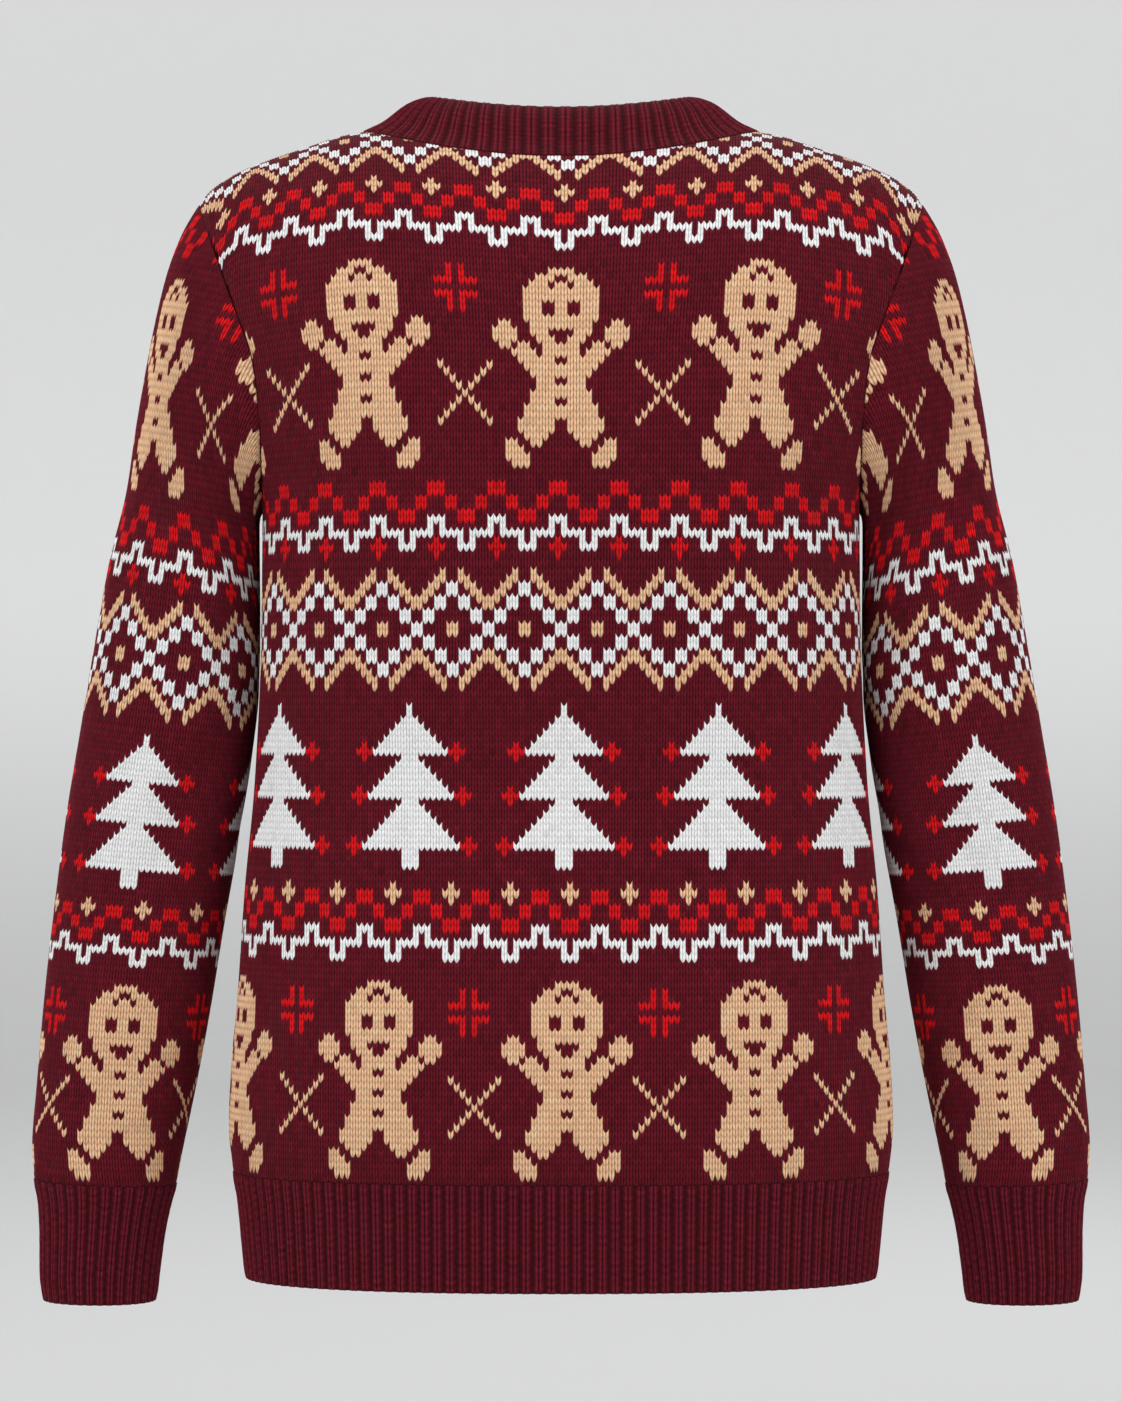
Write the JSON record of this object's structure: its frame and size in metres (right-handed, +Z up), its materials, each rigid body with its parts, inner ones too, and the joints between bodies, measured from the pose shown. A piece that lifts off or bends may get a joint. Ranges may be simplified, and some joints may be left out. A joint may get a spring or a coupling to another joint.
{
  "type": "christmas sweater",
  "caption": "Long-sleeved crew-neck jacquard-knit pullover in its worn, hollow form, with ribbed neckband, cuffs and hem band.",
  "frame": {"origin": "midway between the two neck points, where the shoulder seams meet the neckband, at the height the wearer's shoulders hold the garment", "axes": "+Z up, +Y towards the front of the garment, +X towards the wearer's right"},
  "size_m": [0.6194, 0.236, 0.7016],
  "materials": {
    "jacquard_knit": "soft jacquard knit in maroon with red, tan and white motifs",
    "rib_knit": "soft maroon rib knit"
  },
  "bodies": {
    "root": {"back_panel": "jacquard_knit", "front_panel": "jacquard_knit", "sleeve_right": "jacquard_knit", "sleeve_left": "jacquard_knit", "neckband": "rib_knit", "hem_band": "rib_knit", "cuff_right": "rib_knit", "cuff_left": "rib_knit"}
  },
  "joints": []
}
